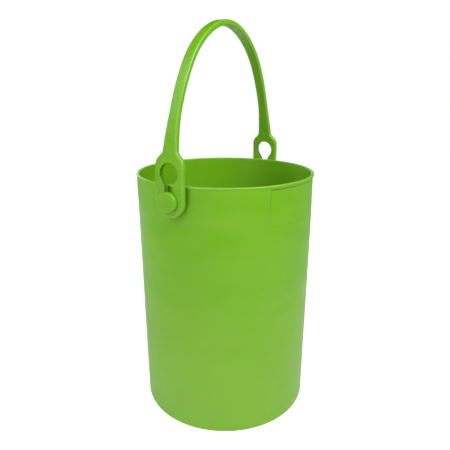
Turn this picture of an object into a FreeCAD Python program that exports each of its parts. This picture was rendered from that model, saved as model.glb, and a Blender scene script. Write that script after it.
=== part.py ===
import FreeCAD, Part
import math
import os
from FreeCAD import Vector

os.makedirs("parts", exist_ok=True)

# Cylindrical picking bucket with a one-piece strap handle, in millimetres.
# Origin: centre of the foot's underside.  +Z is up.  The two handle studs lie on the X axis
# and the sunk label panel is centred on -Y.

# ---- Driving dimensions: shell ----
rim_radius = 115.6            # outside of the rim bead
bucket_height = 320.0         # foot to rim crest
wall_top_radius = 115.1       # outside of the wall just below the bead
wall_foot_radius = 113.0      # outside of the wall at the foot
wall_thickness = 3.2
lip_round = 1.5
bead_height = 3.0
bead_step = 1.0               # height of the sloped step under the bead
bead_root_round = 1.5
bead_shoulder_round = 0.8
floor_thickness = 3.4
foot_recess = 2.5             # the floor stands this much above the foot ring
foot_ring_width = 6.5
foot_ring_draft = 0.5         # the ring's inner side leans outwards by this much
foot_ring_round = 1.0
foot_edge_round = 1.6
floor_corner_round = 6.0

# ---- Driving dimensions: label panel ----
panel_half_width = 64.0
panel_low = 271.5
panel_high = 315.5
panel_depth = 0.8
panel_corner_round = 3.0

# ---- Driving dimensions: studs ----
stud_height = 303.0           # the studs' axis above the foot
boss_radius = 8.5
boss_draft = 1.0              # the boss is this much wider at the wall
boss_face = 117.6             # distance of the boss's face from the bucket's axis
neck_radius = 5.2
head_radius = 11.75
head_thickness = 5.0
head_round = 1.5
head_back_round = 0.4
neck_root_round = 0.25
shank_radius = 4.5
barb_radius = 5.1             # snap ring that holds the stud in its blind socket
barb_length = 0.5
socket_floor = 1.0            # least wall left between the socket and the bucket's inside
end_clearance = 0.15
running_clearance = 0.05
face_clearance = 0.3

# ---- Driving dimensions: handle ----
strap_thickness = 6.8
strap_half_width = 6.5
tab_half_width = 18.9
tab_top = 348.0               # corner where the tab's straight side would end
tab_corner_round = 12.0
leg_root_height = 357.0
leg_root_half_width = 9.7
leg_root_round = 6.0
leg_taper_top = 406.0
leg_taper_round = 160.0
arch_start = 340.0            # the straight tabs end and the arch begins
arch_radii = (100.0, 292.0, 119.7)    # centreline radii from the leg upwards; the crown closes the arch
arch_turns = (11.8, 16.5, 36.6)       # degrees turned by each of them
strap_edge_round = 2.2
keyhole_radius = 12.0
keyhole_height = 334.2        # centre of the keyhole's round end
keyhole_funnel_angle = 33.0   # degrees between the funnel's edge and the slot
slot_half_width = 5.6
keyhole_edge_round = 0.6

# ---- Worked out from the above ----
wall_slope = (wall_top_radius - wall_foot_radius) / bucket_height
tab_inner_face = boss_face + face_clearance
tab_outer_face = tab_inner_face + strap_thickness
strap_middle = (tab_inner_face + tab_outer_face) / 2
head_back = tab_outer_face + face_clearance
head_face = head_back + head_thickness
socket_end = wall_foot_radius + wall_slope * stud_height - wall_thickness + socket_floor
strap_foot = stud_height - 2 * tab_half_width   # lower than the tab's round end, which trims it
far_out = 2 * rim_radius


def wall_radius(z):
    """Outside radius of the tapered wall at height z."""
    return wall_foot_radius + wall_slope * z


def xz(u, v):
    return Vector(u, 0, v)


def yz(u, v):
    return Vector(0, u, v)


def corner_arc(before, corner, after, radius):
    """Start, middle and end of the arc that rounds one corner of an outline."""
    p = Vector(corner[0], corner[1], 0)
    a = Vector(before[0], before[1], 0).sub(p).normalize()
    b = Vector(after[0], after[1], 0).sub(p).normalize()
    half = a.getAngle(b) / 2
    reach = radius / math.tan(half)
    bisector = a.add(b).normalize()
    middle = p.add(bisector * (radius / math.sin(half) - radius))
    return p.add(a * reach), middle, p.add(b * reach)


def outline(corners, place):
    """Closed wire through corners (u, v, radius); place turns (u, v) into a 3-D point."""
    count = len(corners)
    arcs = []
    for i, corner in enumerate(corners):
        if corner[2] > 0:
            arcs.append(corner_arc(corners[i - 1], corner, corners[(i + 1) % count], corner[2]))
        else:
            point = Vector(corner[0], corner[1], 0)
            arcs.append((point, point, point))
    edges = []
    for i, (start, middle, end) in enumerate(arcs):
        if corners[i][2] > 0:
            points = [place(p.x, p.y) for p in (start, middle, end)]
            edges.append(Part.Arc(*points).toShape())
        following = arcs[(i + 1) % count][0]
        if end.distanceToPoint(following) > 1e-6:
            edges.append(Part.LineSegment(place(end.x, end.y), place(following.x, following.y)).toShape())
    return Part.Wire(Part.__sortEdges__(edges))


def prism(wire, depth):
    """Solid of a planar wire extruded by depth to both sides of its plane."""
    face = Part.Face(wire)
    face.translate(depth * -1)
    return face.extrude(depth * 2)


def sharp_edges(shape, least_angle=20.0):
    """Edges whose two faces meet at more than least_angle degrees."""
    found = []
    for edge in shape.Edges:
        faces = shape.ancestorsOfType(edge, Part.Face)
        if len(faces) != 2:
            continue
        point = edge.valueAt((edge.FirstParameter + edge.LastParameter) / 2)
        normals = [f.normalAt(*f.Surface.parameter(point)) for f in faces]
        if math.degrees(normals[0].getAngle(normals[1])) > least_angle:
            found.append(edge)
    return found


def both_sides(shape):
    """The shape and its mirror image in the YZ plane, as one list."""
    return [shape, shape.mirror(Vector(0, 0, 0), Vector(1, 0, 0))]


# ---- Shell ----
def shell_body():
    """Wall, floor, foot ring and rim bead, turned about Z."""
    inner_top = wall_top_radius - wall_thickness
    inner_foot = wall_foot_radius - wall_thickness
    ring_inner = wall_foot_radius - foot_ring_width
    bead_low = bucket_height - bead_height
    corners = [
        (0, foot_recess, 0),
        (ring_inner, foot_recess, foot_ring_round),
        (ring_inner + foot_ring_draft, 0, foot_ring_round),
        (wall_foot_radius, 0, foot_edge_round),
        (wall_radius(bead_low), bead_low, bead_root_round),
        (rim_radius, bead_low + bead_step, bead_shoulder_round),
        (rim_radius, bucket_height, lip_round),
        (inner_top, bucket_height, lip_round),
        (inner_foot, foot_recess + floor_thickness, floor_corner_round),
        (0, foot_recess + floor_thickness, 0),
    ]
    return Part.Face(outline(corners, xz)).revolve(Vector(0, 0, 0), Vector(0, 0, 1), 360)


def panel_cutter():
    """Ring outside the panel's sunk face, trimmed to the panel's rounded rectangle."""
    low = wall_radius(0) - panel_depth
    high = wall_radius(bucket_height) - panel_depth
    core = Part.makeCone(low, high, bucket_height)
    sheet = outline([
        (-panel_half_width, panel_low, panel_corner_round),
        (panel_half_width, panel_low, panel_corner_round),
        (panel_half_width, panel_high, panel_corner_round),
        (-panel_half_width, panel_high, panel_corner_round),
    ], xz)
    face = Part.Face(sheet)
    return face.extrude(Vector(0, -far_out, 0)).cut(core)


def boss():
    """Drafted round boss that carries the stud, before the wall's inside is trimmed off."""
    root = wall_radius(stud_height) - wall_thickness / 2
    height = boss_face - root
    return Part.makeCone(boss_radius + boss_draft, boss_radius, height,
                         Vector(root, 0, stud_height), Vector(1, 0, 0))


def spigot(end, clearance):
    """Outline (x, r) of the stud's barbed inner end from its tip outwards, grown by clearance."""
    ramp = barb_radius - shank_radius
    shank = shank_radius + clearance
    barb = barb_radius + clearance
    tip = socket_end + end_clearance
    return [
        (end, 0, 0),
        (end, shank, 0),
        (tip + ramp, barb, 0),
        (tip + ramp + barb_length, barb, 0),
        (tip + 2 * ramp + barb_length, shank, 0),
    ]


def turned_on_stud(corners):
    """Solid from an outline (x, r) turned about the axis of the stud on +X."""
    shape = Part.Face(outline(corners, xz)).revolve(Vector(0, 0, 0), Vector(1, 0, 0), 360)
    shape.translate(Vector(0, 0, stud_height))
    return shape


def stud_socket():
    """Blind socket in boss and wall, with a groove for the stud's snap ring."""
    mouth = boss_face + 1
    hole = shank_radius + running_clearance
    return turned_on_stud(spigot(socket_end, running_clearance) + [(mouth, hole, 0), (mouth, 0, 0)])


def bucket_shell():
    shape = shell_body().cut(panel_cutter())
    for piece in both_sides(boss()):
        shape = shape.fuse(piece)
    for socket in both_sides(stud_socket()):
        shape = shape.cut(socket)
    return shape.removeSplitter()


# ---- Studs ----
def button_stud():
    """Mushroom head, neck, shank and barbed end, turned about the stud's axis."""
    seat = boss_face + running_clearance
    return turned_on_stud(spigot(socket_end + end_clearance, 0) + [
        (seat, shank_radius, 0),
        (seat, neck_radius, 0),
        (head_back, neck_radius, neck_root_round),
        (head_back, head_radius, head_back_round),
        (head_face, head_radius, head_round),
        (head_face, 0, 0),
    ])


# ---- Handle ----
def arch_side(offset):
    """Edges of the strap's edge line at this offset from its centreline, foot to crown, on +X."""
    foot = Vector(strap_middle + offset, 0, strap_foot)
    start = Vector(strap_middle + offset, 0, arch_start)
    edges = [Part.LineSegment(foot, start).toShape()]
    middle = Vector(strap_middle, 0, arch_start)
    turned = 0.0
    crown_turn = 90.0 - sum(arch_turns)
    for radius, turn in zip(arch_radii + (None,), arch_turns + (crown_turn,)):
        begin = math.radians(turned)
        if radius is None:
            radius = middle.x / math.cos(begin)
        centre = middle.sub(Vector(math.cos(begin), 0, math.sin(begin)) * radius)
        turned += turn
        end = math.radians(turned)
        points = []
        for angle in (begin, (begin + end) / 2, end):
            points.append(centre.add(Vector(math.cos(angle), 0, math.sin(angle)) * (radius + offset)))
        edges.append(Part.Arc(*points).toShape())
        middle = centre.add(Vector(math.cos(end), 0, math.sin(end)) * radius)
    return edges


def strap_side_view():
    """Bent strap seen along Y: a band of even thickness."""
    edges = []
    for offset in (-strap_thickness / 2, strap_thickness / 2):
        for edge in arch_side(offset):
            edges += both_sides(edge)
    foot = Part.LineSegment(xz(tab_inner_face, strap_foot), xz(tab_outer_face, strap_foot)).toShape()
    edges += both_sides(foot)
    return Part.Wire(Part.__sortEdges__(edges))


def strap_end_view():
    """Strap seen along X: round-ended tab, shoulders and tapering leg."""
    half = [
        (tab_half_width, stud_height - tab_half_width, tab_half_width - 0.01),
        (tab_half_width, tab_top, tab_corner_round),
        (leg_root_half_width, leg_root_height, leg_root_round),
        (strap_half_width, leg_taper_top, leg_taper_round),
        (strap_half_width, far_out * 3, 0),
    ]
    mirrored = [(-u, v, r) for u, v, r in reversed(half)]
    return outline(half + mirrored, yz)


def keyhole():
    """Cutter for one keyhole: round end, funnel and slot, closed by the slot's seat."""
    angle = math.radians(keyhole_funnel_angle)
    touch_u = keyhole_radius * math.cos(angle)
    touch_v = keyhole_height - keyhole_radius * math.sin(angle)
    funnel_low = touch_v - (touch_u - slot_half_width) / math.tan(angle)
    right = [yz(touch_u, touch_v), yz(slot_half_width, funnel_low), yz(slot_half_width, stud_height)]
    left = [yz(-p.y, p.z) for p in right]
    edges = [
        Part.Arc(left[0], yz(0, keyhole_height + keyhole_radius), right[0]).toShape(),
        Part.LineSegment(right[0], right[1]).toShape(),
        Part.LineSegment(right[1], right[2]).toShape(),
        Part.Arc(right[2], yz(0, stud_height - slot_half_width), left[2]).toShape(),
        Part.LineSegment(left[2], left[1]).toShape(),
        Part.LineSegment(left[1], left[0]).toShape(),
    ]
    return prism(Part.Wire(edges), Vector(far_out, 0, 0))


def on_keyhole(edge):
    """True for an edge of the keyhole in one of the tab's two faces."""
    box = edge.BoundBox
    in_face = box.XLength < 1e-4
    reach = keyhole_height + keyhole_radius + 1
    inside = abs(box.YMin) < keyhole_radius + 0.1 and abs(box.YMax) < keyhole_radius + 0.1
    return in_face and inside and box.ZMax < reach and box.ZMin > stud_height - slot_half_width - 0.1


def strap_handle():
    band = prism(strap_side_view(), Vector(0, 2 * tab_half_width, 0))
    shape = band.common(prism(strap_end_view(), Vector(far_out, 0, 0)))
    shape = shape.makeFillet(strap_edge_round, sharp_edges(shape))
    shape = shape.cut(keyhole())
    return shape.makeFillet(keyhole_edge_round, [e for e in shape.Edges if on_keyhole(e)])


# ---- Export ----
def single_solid(shape):
    """The one solid inside a result, so that a file never holds a loose compound."""
    assert len(shape.Solids) == 1
    return shape.Solids[0]


left_stud = button_stud().mirror(Vector(0, 0, 0), Vector(1, 0, 0))
pieces = {
    "bucket_shell": bucket_shell(),
    "strap_handle": strap_handle(),
    "stud_left": left_stud,
    "stud_right": button_stud(),
}
for name, shape in pieces.items():
    solid = single_solid(shape)
    solid.exportStep(os.path.join("parts", name + ".step"))
    print(name, "valid", solid.isValid(), "volume cm3", round(solid.Volume / 1000, 2), solid.BoundBox)
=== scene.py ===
import math
import bmesh
import bpy
from mathutils import Matrix, Vector, noise


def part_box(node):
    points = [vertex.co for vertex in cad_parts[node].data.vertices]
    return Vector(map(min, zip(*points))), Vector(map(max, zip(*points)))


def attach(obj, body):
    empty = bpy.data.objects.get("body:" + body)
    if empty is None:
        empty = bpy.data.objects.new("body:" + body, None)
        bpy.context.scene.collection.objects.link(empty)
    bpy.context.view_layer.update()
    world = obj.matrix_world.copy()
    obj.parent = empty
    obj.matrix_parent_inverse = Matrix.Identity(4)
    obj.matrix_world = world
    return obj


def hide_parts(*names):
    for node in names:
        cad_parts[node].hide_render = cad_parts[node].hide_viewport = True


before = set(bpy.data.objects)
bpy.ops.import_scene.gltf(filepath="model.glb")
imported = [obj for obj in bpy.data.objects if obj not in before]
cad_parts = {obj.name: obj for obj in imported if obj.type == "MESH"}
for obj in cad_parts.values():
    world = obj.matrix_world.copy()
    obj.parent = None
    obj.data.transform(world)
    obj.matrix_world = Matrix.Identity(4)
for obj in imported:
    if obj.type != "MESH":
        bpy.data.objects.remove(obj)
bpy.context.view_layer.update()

# Looks of a moulded picking bucket with a strap handle.  Metres, in the frame's own axes: +Z up,
# the studs on the X axis, the sunk label panel on -Y.

# ---- Places read from the frame ----
_, shell_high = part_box("bucket_shell")
stud_low, stud_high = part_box("stud_right")
_, strap_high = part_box("strap_handle")
rim_radius = shell_high.y
bucket_height = shell_high.z
boss_face = shell_high.x
stud_height = (stud_low.z + stud_high.z) / 2
head_radius = stud_high.y
head_face = stud_high.x
spigot_end = stud_low.x
strap_outside = strap_high.x
tab_half_width = strap_high.y

# ---- Shell ----
bead_stand_out = 0.0005      # of the rim bead past the wall's top
foot_inset = 0.0026          # of the wall's foot inside the rim bead
wall_top_radius = rim_radius - bead_stand_out
wall_foot_radius = rim_radius - foot_inset
wall_thickness = 0.0032
lip_round = 0.0015
bead_height = 0.003
bead_slope_height = 0.001
bead_root_round = 0.0015
bead_shoulder_round = 0.0008
floor_thickness = 0.0034
foot_recess = 0.0025
foot_ring_width = 0.0065
foot_ring_draft = 0.0005
foot_ring_round = 0.001
foot_edge_round = 0.0016
floor_corner_round = 0.006
gate_dish_radius = 0.011
gate_dish_depth = 0.0006
gate_dish_slope = 0.0006     # width of the dish's sloping edge
gate_dish_round = 0.0004
gate_radius = 0.0035
gate_height = 0.0005
gate_slope = 0.0003          # width of the gate mark's sloping edge
gate_top_round = 0.0003
gate_root_round = 0.0001
pole_radius = 0.0012         # the small face that closes a turned surface at its axis
wall_step = 0.006            # largest grid step on the wall
floor_step = 0.012           # and on the floors
wall_stretch = 0.1           # a section's stretch taller than this is a wall
floor_stretch = 0.02         # and one wider than this is a floor
level_gap = 1e-4             # least height between a grid level and a corner of the section
profile_arc_steps = 6
wave_height = 0.00016        # gentle unevenness of the moulded wall
wave_length = 0.085
wave_squash = 0.6            # its waves are longer up the wall than round it
wave_calm_rim = 0.06         # it dies away over this height under the rim
wave_calm_foot = 0.02        # and over this height above the foot
painted_sheen_top = 0.27              # painted light from below grows from this height down to the next
painted_sheen_full = 0.04

# ---- Sunk label panel, |x| and z on the -Y side ----
panel_half_width = 0.064
panel_low = 0.2715
panel_high = 0.3155
panel_depth = 0.0008         # at its top; the panel stands upright and runs out towards its foot
panel_foot_depth = 0.0002
panel_corner_round = 0.003
panel_edge_width = 0.0008
panel_fine_step = 0.0004
panel_margin_across = 3      # fine steps of the grid outside the panel's upright edges
panel_margin_up = 2          # and below its bottom edge
panel_reach_across = 1.2     # fine grid inside those edges, in corner radii
panel_reach_up = 1.25
panel_line_width = 0.0006    # distance over which the groove round the panel fades to a third
panel_groove_depth = 0.0003
panel_foot_line = 0.15       # share of the groove left at the panel's bottom edge

# ---- Boss and socket at each stud ----
window_half = 0.0114         # square of the wall that is laid out round the stud
window_turn = math.asin(window_half / rim_radius)
window_steps = 10
window_level_step = 0.0023
window_rings = (0, 0.35, 0.7, 1)   # shares of the way from the square's border to the boss
boss_radius = 0.0085
boss_draft = 0.0006
boss_root_round = 0.0007
boss_root_height = 0.0002    # above the wall, where the boss's side starts
boss_root_draft = 0.2        # share of the draft taken up at that height
boss_edge_round = 0.0004
boss_arc_steps = 4
socket_radius = 0.00455
socket_edge_round = 0.0002
socket_floor = 0.001         # wall left between the socket and the inside

# ---- Studs ----
neck_radius = 0.0052
shank_radius = 0.0045
barb_radius = 0.0051
barb_length = 0.0005
head_thickness = 0.005
head_round = 0.0015
head_back_round = 0.0004
head_hollow_share = 0.6      # of the head's radius, where its face has sunk by the next value
head_hollow = 0.0001
head_hollow_middle = 0.0002
neck_foot_round = 0.0002
neck_root_round = 0.00025
seat_gap = 0.00005           # between the neck's foot and the boss's face
spigot_round = 0.0001
stud_arc_steps = 6
stud_turn_steps = 72

# ---- Handle ----
strap_thickness = 0.0068
strap_half_width = 0.0065
strap_edge_round = 0.0022
shoulder_height = 0.348      # corner where the tab's straight side would end
shoulder_round = 0.012
leg_root_height = 0.357
leg_root_half_width = 0.0097
leg_root_round = 0.006
leg_taper_top = 0.406
leg_taper_ease = 1.5
tab_cut_height = 0.362       # the tab's layout ends here and the leg's sections begin
arch_start = 0.322
arch_radii = (0.237, 0.1155)
arch_turns = (31.6, 36.3)
leg_step = 0.004
keyhole_radius = 0.012
keyhole_height = 0.3342
keyhole_funnel_angle = 33.0
slot_half_width = 0.0056
keyhole_edge_round = 0.0006
handle_lean = 0.7            # degrees towards -Y, as the loose handle stands
tab_turn_step = math.pi / 32
tab_side_steps = 14
tab_arc_steps = 10
tab_rings = (0, 0.08, 0.3, 0.6, 0.9, 1)   # shares of the way from the keyhole to the tab's edge
slot_steps = 6
funnel_steps = 4
keyhole_turn_step = 0.01
edge_arc_steps = 5
edge_side_step = 0.0025
strap_face_steps = 6         # from the strap's middle to its rounded edge

# ---- Camera: the photograph's angle ----
camera_azimuth = 30.0        # degrees from -X towards -Y
camera_distance = 0.59092    # from the bucket's axis
camera_height = 0.42226
camera_tilt = 0.293          # radians below the horizon
camera_focal = 36.01
camera_shift = (-0.0005, 0.0)
camera_near = 0.01

# ---- Plastic ----
green = (0.178, 0.46, 0.010, 1.0)
pale_green = (0.194, 0.474, 0.018, 1.0)
deep_green = (0.160, 0.444, 0.006, 1.0)
painted_sheen_green = (0.30, 0.56, 0.07, 1.0)       # painted sheen: the lip's highlight, and light from below near the foot
groove_shade_green = (0.03, 0.16, 0.002, 1.0)      # painted shade in the panel's groove
# strengths of the painted sheen and of the painted shade in the panel's groove
painted_sheen_strength = 0.4
groove_shade_strength = 0.45
flow_stretch = (1.0, 1.0, 2.6)             # flow marks of the moulding lie level round the wall
flow_noise = (16, 4)                       # scale and detail
flow_stops = (0.3, 0.5, 0.72)              # noise at the deep, the plain and the pale green
gloss_noise = (45, 4)
roughness_range = (0.32, 0.44)
grain_noise = (1600, 2)
grain_strength = 0.25
ripple_noise = (28, 2)
ripple_strength = 0.3
ripple_height = 0.0006
refraction = 1.5
glow_weight = 0.08                         # light that scatters under the surface
glow_radius = (0.6, 1.0, 0.2)
glow_scale = 0.002

# ---- Studio: soft boxes round the bucket's middle ----
studio_middle = Vector((0, 0, 0.25))
soft_boxes = [               # name, degrees right of the camera, degrees up, distance, size, watts
    ("key", 60, 45, 1.2, 0.42, 11.2),
    ("fill_low", -30, 14, 0.8, 0.35, 1.5),
    ("fill_front", -30, 45, 1.2, 0.7, 2.4),
    ("fill_left", -60, 45, 1.2, 0.7, 2.9),
    ("edge_left", -120, 14, 1.3, 0.5, 3.1),
    ("edge_back", -150, 14, 1.3, 0.5, 2.7),
    ("front_right", 30, 45, 1.2, 0.7, 1.5),
    ("back", 180, 14, 1.3, 0.5, 1.6),
]
backdrop_white = 1.0         # what the camera sees behind the object
room_light = 0.02            # what the backdrop gives to the object
white = (1.0, 1.0, 1.0, 1.0)
floor_grey = (0.7, 0.7, 0.7, 1.0)
floor_roughness = 0.8
floor_reach = 3.0
floor_glow = 0.25            # light that the floor gives to the object
floor_white = (0.7, 1.0)     # glow that the camera sees: near the object, and where the floor fades out
floor_fade = (0.3, 1.6)      # distances from the object between these two

# ---- Welding and rounding ----
weld_distance = 4e-6
slack = 1e-6                 # so that rounding moves nothing across a limit


# ==== Mesh helpers ====
class Skin:
    """Faces gathered from patches of points, welded at their shared borders at the end."""

    def __init__(self):
        self.points = []
        self.faces = []

    def patch(self, rows, closed=False, skip=None):
        """Quads between neighbouring rows; closed joins each row's end to its start."""
        start = len(self.points)
        width = len(rows[0])
        for row in rows:
            self.points.extend(row)
        columns = width if closed else width - 1
        for r in range(len(rows) - 1):
            for c in range(columns):
                if skip and skip(r, c):
                    continue
                near = start + r * width
                after = (c + 1) % width
                self.faces.append((near + c, near + after, near + width + after, near + width + c))

    def cap(self, ring):
        """One flat face over a closed ring of points."""
        start = len(self.points)
        self.points.extend(ring)
        self.faces.append(tuple(range(start, start + len(ring))))

    def mirrored(self, axis):
        """The same faces again on the other side of the plane through the origin."""
        start = len(self.points)
        for point in list(self.points):
            twin = point.copy()
            twin[axis] = -twin[axis]
            self.points.append(twin)
        self.faces += [tuple(start + i for i in reversed(face)) for face in list(self.faces)]

    def build(self, name, marks=None):
        """Welded object without the points that skipped faces leave over.

        marks are {name: value at (x, y, z)} that its material reads.
        """
        mesh = bpy.data.meshes.new(name)
        mesh.from_pydata(self.points, [], self.faces)
        work = bmesh.new()
        work.from_mesh(mesh)
        bmesh.ops.remove_doubles(work, verts=work.verts, dist=weld_distance)
        unused = [vertex for vertex in work.verts if not vertex.link_faces]
        bmesh.ops.delete(work, geom=unused, context="VERTS")
        bmesh.ops.recalc_face_normals(work, faces=work.faces)
        for face in work.faces:
            face.smooth = True
        work.to_mesh(mesh)
        work.free()
        for mark, value_at in (marks or {}).items():
            layer = mesh.attributes.new(mark, "FLOAT", "POINT")
            layer.data.foreach_set("value", [value_at(*vertex.co) for vertex in mesh.vertices])
        piece = bpy.data.objects.new(name, mesh)
        bpy.context.scene.collection.objects.link(piece)
        return piece


def spread(start, end, step):
    """Even values from start to end, no further apart than step."""
    count = max(1, math.ceil(abs(end - start) / step - slack))
    return [start + (end - start) * i / count for i in range(count + 1)]


def join_spreads(stops):
    """Values through (value, step up to the next value) stops; the last step is not used."""
    values = []
    for (start, step), (end, _) in zip(stops, stops[1:]):
        values += spread(start, end, step)[:-1]
    return values + [stops[-1][0]]


def rounded_path(corners, arc_steps):
    """Open path through corners (u, v, radius), with each rounded corner as an arc."""
    points = [Vector(corners[0][:2])]
    for before, corner, after in zip(corners, corners[1:], corners[2:]):
        here = Vector(corner[:2])
        radius = corner[2]
        if radius == 0:
            points.append(here)
            continue
        back = (Vector(before[:2]) - here).normalized()
        ahead = (Vector(after[:2]) - here).normalized()
        half = back.angle(ahead) / 2
        centre = here + (back + ahead).normalized() * (radius / math.sin(half))
        reach = radius / math.tan(half)
        first = here + back * reach - centre
        last = here + ahead * reach - centre
        turn = first.angle_signed(last)
        for i in range(arc_steps + 1):
            part = turn * i / arc_steps
            spin = Vector((first.x * math.cos(part) + first.y * math.sin(part),
                           first.y * math.cos(part) - first.x * math.sin(part)))
            points.append(centre + spin)
    points.append(Vector(corners[-1][:2]))
    return points


def smooth_step(value):
    value = min(max(value, 0.0), 1.0)
    return value * value * (3 - 2 * value)


def turned(theta, radius, z):
    """Place at an angle from +X, a distance from the Z axis and a height."""
    return Vector((math.cos(theta) * radius, math.sin(theta) * radius, z))


# ==== Shell ====
def wall_radius(z):
    return wall_foot_radius + (wall_top_radius - wall_foot_radius) * z / bucket_height


def outside_panel(x, y, z):
    """Distance outside the label panel's outline, seen along Y; negative on the panel."""
    if y > 0:
        return 1.0
    inset = panel_corner_round
    across = abs(x) - (panel_half_width - inset)
    up = abs(z - (panel_low + panel_high) / 2) - ((panel_high - panel_low) / 2 - inset)
    return math.hypot(max(across, 0.0), max(up, 0.0)) + min(max(across, up), 0.0) - inset


def panel_share(z, at_foot):
    """1 at the panel's top edge, running down to at_foot at its bottom edge."""
    return at_foot + (1 - at_foot) * smooth_step((z - panel_low) / (panel_high - panel_low))


# This mask cuts the real groove round the panel and also sets the painted shade in it.
def panel_line(x, y, z):
    """Up to 1 in the groove at the foot of the panel's edge, and 0 away from it."""
    away = (outside_panel(x, y, z) + panel_edge_width / 2) / panel_line_width
    return math.exp(-away * away) * panel_share(z, panel_foot_line)


def painted_sheen_mask(x, y, z):
    """Painted sheen: a painted highlight full on the lip, none just below it, and painted light from
    below growing down to the foot.
    """
    lip = smooth_step((z - bucket_height) / lip_round + 1)
    return max(lip, smooth_step((painted_sheen_top - z) / (painted_sheen_top - painted_sheen_full)))


def panel_sink(x, y, z):
    """How far the label panel and its groove are sunk below the wall at this place."""
    step = smooth_step(0.5 - outside_panel(x, y, z) / panel_edge_width)
    depth = panel_depth * panel_share(z, panel_foot_depth / panel_depth)
    return depth * step + panel_groove_depth * panel_line(x, y, z)


def wave(theta, z):
    """Gentle radial unevenness, which dies away at the rim and the foot."""
    place = turned(theta, rim_radius, z * wave_squash) / wave_length
    calm = smooth_step((bucket_height - z) / wave_calm_rim) * smooth_step(z / wave_calm_foot)
    return wave_height * calm * noise.noise(place)


def shell_angles():
    """Angles of the wall's grid: fine at the studs' windows and at the panel's upright edges."""
    edge = math.asin(panel_half_width / rim_radius)
    fine = panel_fine_step / rim_radius / math.cos(edge)
    margin = panel_margin_across * panel_fine_step / rim_radius
    reach = panel_corner_round / rim_radius * panel_reach_across
    coarse = wall_step / rim_radius
    half = math.pi / 2
    stops = [(-half, coarse), (-half + edge - reach, fine), (-half + edge + margin, coarse),
             (-window_turn, 2 * window_turn / window_steps), (window_turn, coarse), (half, 0)]
    right = join_spreads(stops)
    left = [math.pi - a for a in reversed(right)]
    return right[:-1] + left[:-1]


def shell_levels():
    """Heights of the wall's grid: fine at the studs' windows and the panel's level edges."""
    fine = panel_fine_step
    reach = panel_reach_up * panel_corner_round
    return join_spreads([
        (foot_edge_round, wall_step), (panel_low - panel_margin_up * fine, fine),
        (panel_low + reach, wall_step), (stud_height - window_half, window_level_step),
        (panel_high - reach, fine), (stud_height + window_half, fine),
        (bucket_height - bead_height - fine, 0),
    ])


def shell_profile():
    """Outline of the wall's section from the foot's centre, up the outside and down the inside."""
    inner_top = wall_top_radius - wall_thickness
    inner_foot = wall_foot_radius - wall_thickness
    ring_inner = wall_foot_radius - foot_ring_width
    dish_top = foot_recess + gate_dish_depth
    bead_low = bucket_height - bead_height
    floor_top = foot_recess + floor_thickness
    return rounded_path([
        (pole_radius, dish_top - gate_height, 0),
        (gate_radius, dish_top - gate_height, gate_top_round),
        (gate_radius + gate_slope, dish_top, gate_root_round),
        (gate_dish_radius, dish_top, gate_dish_round),
        (gate_dish_radius + gate_dish_slope, foot_recess, gate_dish_round),
        (ring_inner, foot_recess, foot_ring_round),
        (ring_inner + foot_ring_draft, 0, foot_ring_round),
        (wall_foot_radius, 0, foot_edge_round),
        (wall_radius(bead_low), bead_low, bead_root_round),
        (rim_radius, bead_low + bead_slope_height, bead_shoulder_round),
        (rim_radius, bucket_height, lip_round),
        (inner_top, bucket_height, lip_round),
        (inner_foot, floor_top, floor_corner_round),
        (pole_radius, floor_top, 0),
    ], profile_arc_steps)


def filled_in(profile, levels):
    """The profile with its long stretches divided: walls at the levels, floors at even steps."""
    points = [profile[0]]
    for a, b in zip(profile, profile[1:]):
        if abs(b.y - a.y) > wall_stretch:
            bottom = min(a.y, b.y) + level_gap
            top = max(a.y, b.y) - level_gap
            between = [z for z in levels if bottom < z < top]
            for z in sorted(between, reverse=b.y < a.y):
                points.append(a.lerp(b, (z - a.y) / (b.y - a.y)))
        elif abs(b.x - a.x) > floor_stretch:
            for x in spread(a.x, b.x, floor_step)[1:-1]:
                points.append(a.lerp(b, (x - a.x) / (b.x - a.x)))
        points.append(b)
    return points


def shell_point(theta, radius, z):
    """Place on the shell, with the panel sunk into the outside and the wall's unevenness."""
    on_outside = radius > wall_radius(z) - wall_thickness / 2
    x = math.cos(theta) * radius
    y = math.sin(theta) * radius
    shift = 0.0
    if radius > wall_foot_radius - 2 * wall_thickness:
        shift = wave(theta, z)
    if on_outside:
        shift -= panel_sink(x, y, z)
    return turned(theta, radius + shift, z)


def wall_at(y, z, side):
    """Place on the wall's outside near a stud, from its y and z."""
    radius = wall_radius(z)
    theta = math.asin(y / radius)
    if side < 0:
        theta = math.pi - theta
    return shell_point(theta, radius, z)


def window_border(angles, levels):
    """(y, z) of the grid points round the square window, once round from its lower corner."""
    turns = sorted(a for a in angles if abs(a) < window_turn + slack)
    heights = [z for z in levels if abs(z - stud_height) < window_half + slack]

    def place(theta, z):
        return (wall_radius(z) * math.sin(theta), z)

    loop = [place(turn, heights[0]) for turn in turns[:-1]]
    loop += [place(turns[-1], z) for z in heights[:-1]]
    loop += [place(turn, heights[-1]) for turn in reversed(turns[1:])]
    loop += [place(turns[0], z) for z in reversed(heights[1:])]
    return loop


def stud_patch(skin, angles, levels, side):
    """Wall round a stud, its boss and the blind socket in it."""
    border = window_border(angles, levels)
    rays = [Vector((y, z - stud_height)).normalized() for y, z in border]
    root = boss_radius + boss_draft
    rows = []
    for part in window_rings:
        row = []
        for (y, z), ray in zip(border, rays):
            spot = Vector((y, z - stud_height)).lerp(ray * (root + boss_root_round), part)
            row.append(wall_at(spot.x, spot.y + stud_height, side))
        rows.append(row)
    wall_x = wall_radius(stud_height)
    socket_end = wall_x - wall_thickness + socket_floor
    section = rounded_path([
        (root - boss_draft * boss_root_draft, wall_x + boss_root_height, 0),
        (boss_radius, boss_face, boss_edge_round),
        (socket_radius, boss_face, socket_edge_round),
        (socket_radius, socket_end, 0),
        (pole_radius, socket_end, 0),
    ], boss_arc_steps)
    for reach, x in section:
        rows.append([Vector((side * x, ray.x * reach, stud_height + ray.y * reach)) for ray in rays])
    skin.patch(rows, closed=True)
    skin.cap(rows[-1])


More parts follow.
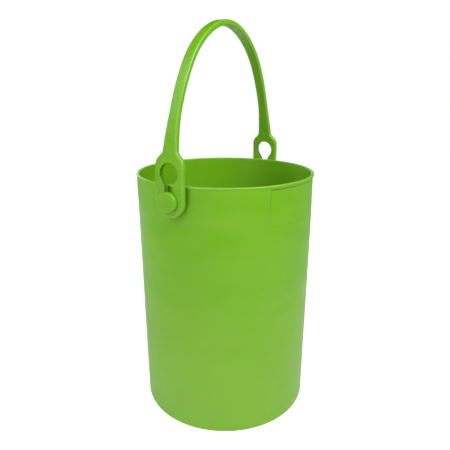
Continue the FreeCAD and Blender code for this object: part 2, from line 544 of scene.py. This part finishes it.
def make_shell():
    skin = Skin()
    angles = shell_angles()
    levels = shell_levels()
    profile = filled_in(shell_profile(), levels)

    def in_window(row, column):
        after = angles[(column + 1) % len(angles)]
        if after < angles[column]:
            after += 2 * math.pi
        turn = (angles[column] + after) / 2
        at_stud = abs(math.sin(turn)) < math.sin(window_turn)
        z = (profile[row].y + profile[row + 1].y) / 2
        outside = profile[row].x > wall_radius(z) - wall_thickness / 2
        return at_stud and outside and abs(z - stud_height) < window_half

    rows = [[shell_point(theta, p.x, p.y) for theta in angles] for p in profile]
    skin.patch(rows, closed=True, skip=in_window)
    skin.cap(rows[0])
    skin.cap(rows[-1])
    for side in (-1, 1):
        stud_patch(skin, angles, levels, side)
    # Marks for the material: painted shade in the panel's groove, and a painted sheen on the lip and
    # towards the foot.
    return skin.build("moulded_shell", {"groove_shade": panel_line, "painted_sheen": painted_sheen_mask})


# ==== Studs ====
def make_stud(name, side):
    """Mushroom head, neck, shank and barbed end, turned about the stud's axis."""
    ramp = barb_radius - shank_radius
    barb_end = spigot_end + ramp + barb_length
    seat = boss_face + seat_gap
    head_back = head_face - head_thickness
    section = rounded_path([
        (spigot_end, pole_radius, 0),
        (spigot_end, shank_radius, spigot_round),
        (spigot_end + ramp, barb_radius, spigot_round),
        (barb_end, barb_radius, spigot_round),
        (barb_end + ramp, shank_radius, spigot_round),
        (seat, shank_radius, spigot_round),
        (seat, neck_radius, neck_foot_round),
        (head_back, neck_radius, neck_root_round),
        (head_back, head_radius, head_back_round),
        (head_face, head_radius, head_round),
        (head_face - head_hollow, head_radius * head_hollow_share, 0),
        (head_face - head_hollow_middle, pole_radius, 0),
    ], stud_arc_steps)
    rows = []
    for x, reach in section:
        row = []
        for i in range(stud_turn_steps):
            turn = 2 * math.pi * i / stud_turn_steps
            row.append(Vector((side * x, math.cos(turn) * reach, stud_height + math.sin(turn) * reach)))
        rows.append(row)
    skin = Skin()
    skin.patch(rows, closed=True)
    skin.cap(rows[0])
    skin.cap(rows[-1])
    return skin.build(name)


# ==== Handle ====
def arch_length():
    """Developed height of the crown, and the crown's radius."""
    x = strap_outside - strap_thickness / 2
    turned_so_far = 0.0
    length = arch_start
    for radius, turn in zip(arch_radii, arch_turns):
        start = math.radians(turned_so_far)
        turned_so_far += turn
        x -= radius * (math.cos(start) - math.cos(math.radians(turned_so_far)))
        length += radius * math.radians(turn)
    rest = math.radians(90 - turned_so_far)
    crown_radius = x / math.cos(math.radians(turned_so_far))
    return length + crown_radius * rest, crown_radius


crown_length, crown_radius = arch_length()


def bent(y, s, depth):
    """Place of a flat-pattern point: s runs up the strap, depth inwards from its outer face."""
    out = strap_thickness / 2 - depth
    middle = Vector((strap_outside - strap_thickness / 2, 0, min(s, arch_start)))
    left = s - arch_start
    angle = 0.0
    for radius, turn in zip(arch_radii + (crown_radius,), arch_turns + (90 - sum(arch_turns),)):
        if left <= 0:
            break
        here = min(left / radius, math.radians(turn))
        end = angle + here
        middle.x -= radius * (math.cos(angle) - math.cos(end))
        middle.z += radius * (math.sin(end) - math.sin(angle))
        angle = end
        left -= radius * here
        if here < math.radians(turn):
            break
    return middle + Vector((math.cos(angle) * out, y, math.sin(angle) * out))


def leg_half_width(s):
    part = min(max((s - leg_root_height) / (leg_taper_top - leg_root_height), 0.0), 1.0)
    narrowed = 1 - (1 - part) ** leg_taper_ease
    return leg_root_half_width + (strap_half_width - leg_root_half_width) * narrowed


def resampled(path, count):
    """Points at even distances along a path."""
    reach = [0.0]
    for a, b in zip(path, path[1:]):
        reach.append(reach[-1] + (b - a).length)
    points = []
    k = 0
    for i in range(count + 1):
        target = reach[-1] * i / count
        while k < len(path) - 2 and reach[k + 1] < target:
            k += 1
        points.append(path[k].lerp(path[k + 1], (target - reach[k]) / (reach[k + 1] - reach[k])))
    return points


def tab_outline():
    """Half outline of the tab from its lowest point round to the leg, with outward normals."""
    low = [Vector((math.sin(a) * tab_half_width, stud_height - math.cos(a) * tab_half_width))
           for a in spread(0, math.pi / 2, tab_turn_step)]
    high = rounded_path([
        (tab_half_width, stud_height, 0), (tab_half_width, shoulder_height, shoulder_round),
        (leg_root_half_width, leg_root_height, leg_root_round),
        (leg_half_width(tab_cut_height), tab_cut_height, 0),
    ], tab_arc_steps)
    side = resampled(high[:2], tab_side_steps)
    path = low + side[1:] + high[2:]
    normals = []
    for i, point in enumerate(path):
        run = path[min(i + 1, len(path) - 1)] - path[max(i - 1, 0)]
        normals.append(Vector((run.y, -run.x)).normalized())
    normals[0] = Vector((0, -1))
    normals[-1] = Vector((1, 0))
    return path, normals


def keyhole_outline(offset):
    """Half outline of the keyhole, offset outwards, in stretches that match the tab's."""
    angle = math.radians(keyhole_funnel_angle)
    big = keyhole_radius + offset
    small = slot_half_width + offset
    touch = Vector((big * math.cos(angle), keyhole_height - big * math.sin(angle)))
    funnel = Vector((small, touch.y - (touch.x - small) / math.tan(angle)))
    bottom = [Vector((math.sin(a) * small, stud_height - math.cos(a) * small))
              for a in spread(0, math.pi / 2, tab_turn_step)]
    slot = resampled([bottom[-1], funnel], slot_steps)
    slope = resampled([funnel, touch], funnel_steps)
    ring = []
    for a in spread(-angle, math.pi / 2, keyhole_turn_step):
        ring.append(Vector((math.cos(a) * big, keyhole_height + math.sin(a) * big)))
    return bottom + slot[1:] + slope[1:], ring


def edge_section(radius):
    """(inset, depth) of a rounded edge from the outer face, over the side, to the inner face."""
    front = []
    for i in range(edge_arc_steps + 1):
        a = math.pi / 2 * i / edge_arc_steps
        front.append((radius * (1 - math.sin(a)), radius * (1 - math.cos(a))))
    back = [(inset, strap_thickness - depth) for inset, depth in reversed(front)]
    middle = spread(radius, strap_thickness - radius, edge_side_step)[1:-1]
    return front + [(0.0, depth) for depth in middle] + back


def add_tab(skin):
    """Half a tab: its rounded edge, the keyhole's edge, and the two faces between them."""
    path, normals = tab_outline()
    rim_rows = []
    for inset, depth in edge_section(strap_edge_round):
        rim_rows.append([bent(p.x - n.x * inset, p.y - n.y * inset, depth)
                         for p, n in zip(path, normals)])
    skin.patch(rim_rows)

    cut_edge = leg_half_width(tab_cut_height) - strap_edge_round
    outer = [p - n * strap_edge_round for p, n in zip(path, normals)]
    for i in range(1, strap_face_steps + 1):
        outer.append(Vector((cut_edge * (1 - i / strap_face_steps), tab_cut_height)))

    def hole_loop(offset):
        lower, ring = keyhole_outline(offset)
        return lower + resampled(ring, len(outer) - len(lower))[1:]

    hole_rows = []
    for inset, depth in edge_section(keyhole_edge_round):
        hole_rows.append([bent(p.x, p.y, depth) for p in hole_loop(inset)])
    skin.patch(hole_rows)
    inner = hole_loop(keyhole_edge_round)
    for depth in (0.0, strap_thickness):
        rows = []
        for part in tab_rings:
            rows.append([bent(*a.lerp(b, part), depth) for a, b in zip(inner, outer)])
        skin.patch(rows)


def add_leg(skin):
    """Half a leg, from the tab up to the crown's middle, as sections across the strap."""
    section = edge_section(strap_edge_round)
    rows = []
    for s in spread(tab_cut_height, crown_length, leg_step):
        half = leg_half_width(s)
        face = [(half - strap_edge_round) * i / strap_face_steps for i in range(strap_face_steps)]
        row = [bent(y, s, 0.0) for y in face]
        row += [bent(half - inset, s, depth) for inset, depth in section]
        row += [bent(y, s, strap_thickness) for y in reversed(face)]
        rows.append(row)
    skin.patch(rows)


def make_handle():
    """Strap handle with a keyhole tab at each end: a quarter, mirrored twice and leaned."""
    skin = Skin()
    add_tab(skin)
    add_leg(skin)
    skin.mirrored(1)
    skin.mirrored(0)
    axis = Vector((0, 0, stud_height))
    lean = Matrix.Rotation(math.radians(handle_lean), 3, "X")
    skin.points = [axis + lean @ (point - axis) for point in skin.points]
    return skin.build("moulded_handle")


# ==== Materials ====
def cloud(nodes, links, coordinates, scale_and_detail):
    """Output of a noise texture, from 0 to 1."""
    texture = nodes.new("ShaderNodeTexNoise")
    texture.inputs["Scale"].default_value, texture.inputs["Detail"].default_value = scale_and_detail
    links.new(coordinates, texture.inputs["Vector"])
    return texture.outputs["Fac"]


def marked(nodes, links, mark, strength, under, over):
    """Colour output that turns from one colour to another where the mesh carries a mark."""
    attribute = nodes.new("ShaderNodeAttribute")
    attribute.attribute_name = mark
    amount = nodes.new("ShaderNodeMapRange")
    amount.inputs["To Max"].default_value = strength
    links.new(attribute.outputs["Fac"], amount.inputs["Value"])
    blend = nodes.new("ShaderNodeMix")
    blend.data_type = "RGBA"
    links.new(amount.outputs["Result"], blend.inputs["Factor"])
    links.new(under, blend.inputs["A"])
    blend.inputs["B"].default_value = over
    return blend.outputs["Result"]


def plastic_colour(nodes, links, coordinates):
    """Green with level flow marks, a painted sheen on the lip and towards the foot, and painted shade
    in the groove round the label panel.
    """
    level = nodes.new("ShaderNodeMapping")
    level.inputs["Scale"].default_value = flow_stretch
    links.new(coordinates, level.inputs["Vector"])
    ramp = nodes.new("ShaderNodeValToRGB")
    deep_stop, plain_stop, pale_stop = flow_stops
    ramp.color_ramp.elements[0].position = deep_stop
    ramp.color_ramp.elements[0].color = deep_green
    ramp.color_ramp.elements[1].position = pale_stop
    ramp.color_ramp.elements[1].color = pale_green
    ramp.color_ramp.elements.new(plain_stop).color = green
    links.new(cloud(nodes, links, level.outputs["Vector"], flow_noise), ramp.inputs["Fac"])
    # painted sheen: a painted highlight on the lip and painted light from below towards the foot
    with_painted_sheen = marked(nodes, links, "painted_sheen", painted_sheen_strength, ramp.outputs["Color"], painted_sheen_green)
    # painted shade in the groove round the panel
    return marked(nodes, links, "groove_shade", groove_shade_strength, with_painted_sheen, groove_shade_green)


def plastic_roughness(nodes, links, coordinates):
    """Satin that varies a little over the surface."""
    gloss = nodes.new("ShaderNodeMapRange")
    gloss.inputs["To Min"].default_value, gloss.inputs["To Max"].default_value = roughness_range
    links.new(cloud(nodes, links, coordinates, gloss_noise), gloss.inputs["Value"])
    return gloss.outputs["Result"]


def bumped(nodes, links, height, strength, distance, under=None):
    """Surface normal raised by a height from 0 to 1, over another normal if one is given."""
    bump = nodes.new("ShaderNodeBump")
    bump.inputs["Strength"].default_value = strength
    bump.inputs["Distance"].default_value = distance
    links.new(height, bump.inputs["Height"])
    if under:
        links.new(under, bump.inputs["Normal"])
    return bump.outputs["Normal"]


def moulded_plastic(name, grain_height, gloss_level):
    """Satin polyethylene: flow marks, fine grain over shallow ripples, and a soft glow."""
    material = bpy.data.materials.new(name)
    material.use_nodes = True
    nodes = material.node_tree.nodes
    links = material.node_tree.links
    shader = nodes["Principled BSDF"]
    shader.inputs["IOR"].default_value = refraction
    shader.inputs["Specular IOR Level"].default_value = gloss_level
    shader.inputs["Subsurface Weight"].default_value = glow_weight
    shader.inputs["Subsurface Radius"].default_value = glow_radius
    shader.inputs["Subsurface Scale"].default_value = glow_scale
    place = nodes.new("ShaderNodeTexCoord").outputs["Object"]
    links.new(plastic_colour(nodes, links, place), shader.inputs["Base Color"])
    links.new(plastic_roughness(nodes, links, place), shader.inputs["Roughness"])
    grain = cloud(nodes, links, place, grain_noise)
    ripple = cloud(nodes, links, place, ripple_noise)
    grained = bumped(nodes, links, grain, grain_strength, grain_height)
    rippled = bumped(nodes, links, ripple, ripple_strength, ripple_height, grained)
    links.new(rippled, shader.inputs["Normal"])
    return material


def floor_material():
    """White sweep: lit near the object, and fading into the white backdrop away from it."""
    material = bpy.data.materials.new("pale_floor")
    material.use_nodes = True
    nodes = material.node_tree.nodes
    links = material.node_tree.links
    shader = nodes["Principled BSDF"]
    shader.inputs["Base Color"].default_value = floor_grey
    shader.inputs["Roughness"].default_value = floor_roughness
    shader.inputs["Emission Color"].default_value = white
    place = nodes.new("ShaderNodeTexCoord")
    reach = nodes.new("ShaderNodeVectorMath")
    reach.operation = "LENGTH"
    links.new(place.outputs["Object"], reach.inputs[0])
    fade = nodes.new("ShaderNodeMapRange")
    fade.inputs["From Min"].default_value, fade.inputs["From Max"].default_value = floor_fade
    fade.inputs["To Min"].default_value, fade.inputs["To Max"].default_value = floor_white
    links.new(reach.outputs["Value"], fade.inputs["Value"])
    path = nodes.new("ShaderNodeLightPath")
    glow = nodes.new("ShaderNodeMapRange")
    glow.inputs["To Min"].default_value = floor_glow
    links.new(path.outputs["Is Camera Ray"], glow.inputs["Value"])
    links.new(fade.outputs["Result"], glow.inputs["To Max"])
    links.new(glow.outputs["Result"], shader.inputs["Emission Strength"])
    return material


# ==== Camera, light and floor ====
def make_camera():
    data = bpy.data.cameras.new("camera")
    data.lens = camera_focal
    data.clip_start = camera_near
    data.shift_x, data.shift_y = camera_shift
    camera = bpy.data.objects.new("camera", data)
    bpy.context.scene.collection.objects.link(camera)
    turn = math.radians(camera_azimuth)
    camera.location = turned(turn, -camera_distance, camera_height)
    look = turned(turn, math.cos(camera_tilt), -math.sin(camera_tilt))
    camera.rotation_mode = "QUATERNION"
    camera.rotation_quaternion = look.to_track_quat("-Z", "Y")
    bpy.context.scene.camera = camera


def soft_box(name, right, up, distance, size, power):
    """Square area light round the bucket's middle, facing it."""
    data = bpy.data.lights.new(name, "AREA")
    data.shape = "SQUARE"
    data.size = size
    data.energy = power
    turn = math.radians(180 + camera_azimuth + right)
    rise = math.radians(up)
    out = turned(turn, math.cos(rise), math.sin(rise))
    light = bpy.data.objects.new(name, data)
    light.location = studio_middle + out * distance
    light.rotation_mode = "QUATERNION"
    light.rotation_quaternion = out.to_track_quat("Z", "Y")
    light.visible_camera = False
    bpy.context.scene.collection.objects.link(light)


def make_studio():
    world = bpy.data.worlds.new("studio")
    bpy.context.scene.world = world
    world.use_nodes = True
    background = world.node_tree.nodes["Background"]
    background.inputs["Color"].default_value = white
    path = world.node_tree.nodes.new("ShaderNodeLightPath")
    strength = world.node_tree.nodes.new("ShaderNodeMapRange")
    strength.inputs["To Min"].default_value = room_light
    strength.inputs["To Max"].default_value = backdrop_white
    world.node_tree.links.new(path.outputs["Is Camera Ray"], strength.inputs["Value"])
    world.node_tree.links.new(strength.outputs["Result"], background.inputs["Strength"])
    bpy.context.scene.view_settings.view_transform = "Standard"
    for box in soft_boxes:
        soft_box(*box)

    mesh = bpy.data.meshes.new("floor")
    corners = [(-floor_reach, -floor_reach, 0), (floor_reach, -floor_reach, 0),
               (floor_reach, floor_reach, 0), (-floor_reach, floor_reach, 0)]
    mesh.from_pydata(corners, [], [(0, 1, 2, 3)])
    mesh.materials.append(floor_material())
    floor = bpy.data.objects.new("floor", mesh)
    bpy.context.scene.collection.objects.link(floor)


# ==== Putting it together ====
make_camera()
make_studio()
shell = make_shell()
handle = make_handle()
stud_left = make_stud("moulded_stud_left", -1)
stud_right = make_stud("moulded_stud_right", 1)
outfit = [                   # piece, body, node, slot, height of its grain, level of its shine
    (shell, "bucket", "bucket_shell", "shell_plastic", 0.00004, 0.3),
    (handle, "handle", "strap_handle", "handle_plastic", 0.00001, 0.55),
    (stud_left, "studs", "stud_left", "stud_plastic", 0.00001, 0.45),
    (stud_right, "studs", "stud_right", "stud_plastic", 0.00001, 0.45),
]
for piece, body, node, slot, grain_height, gloss_level in outfit:
    piece.data.materials.append(moulded_plastic(piece.name + "_plastic", grain_height, gloss_level))
    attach(piece, body)
    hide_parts(node)
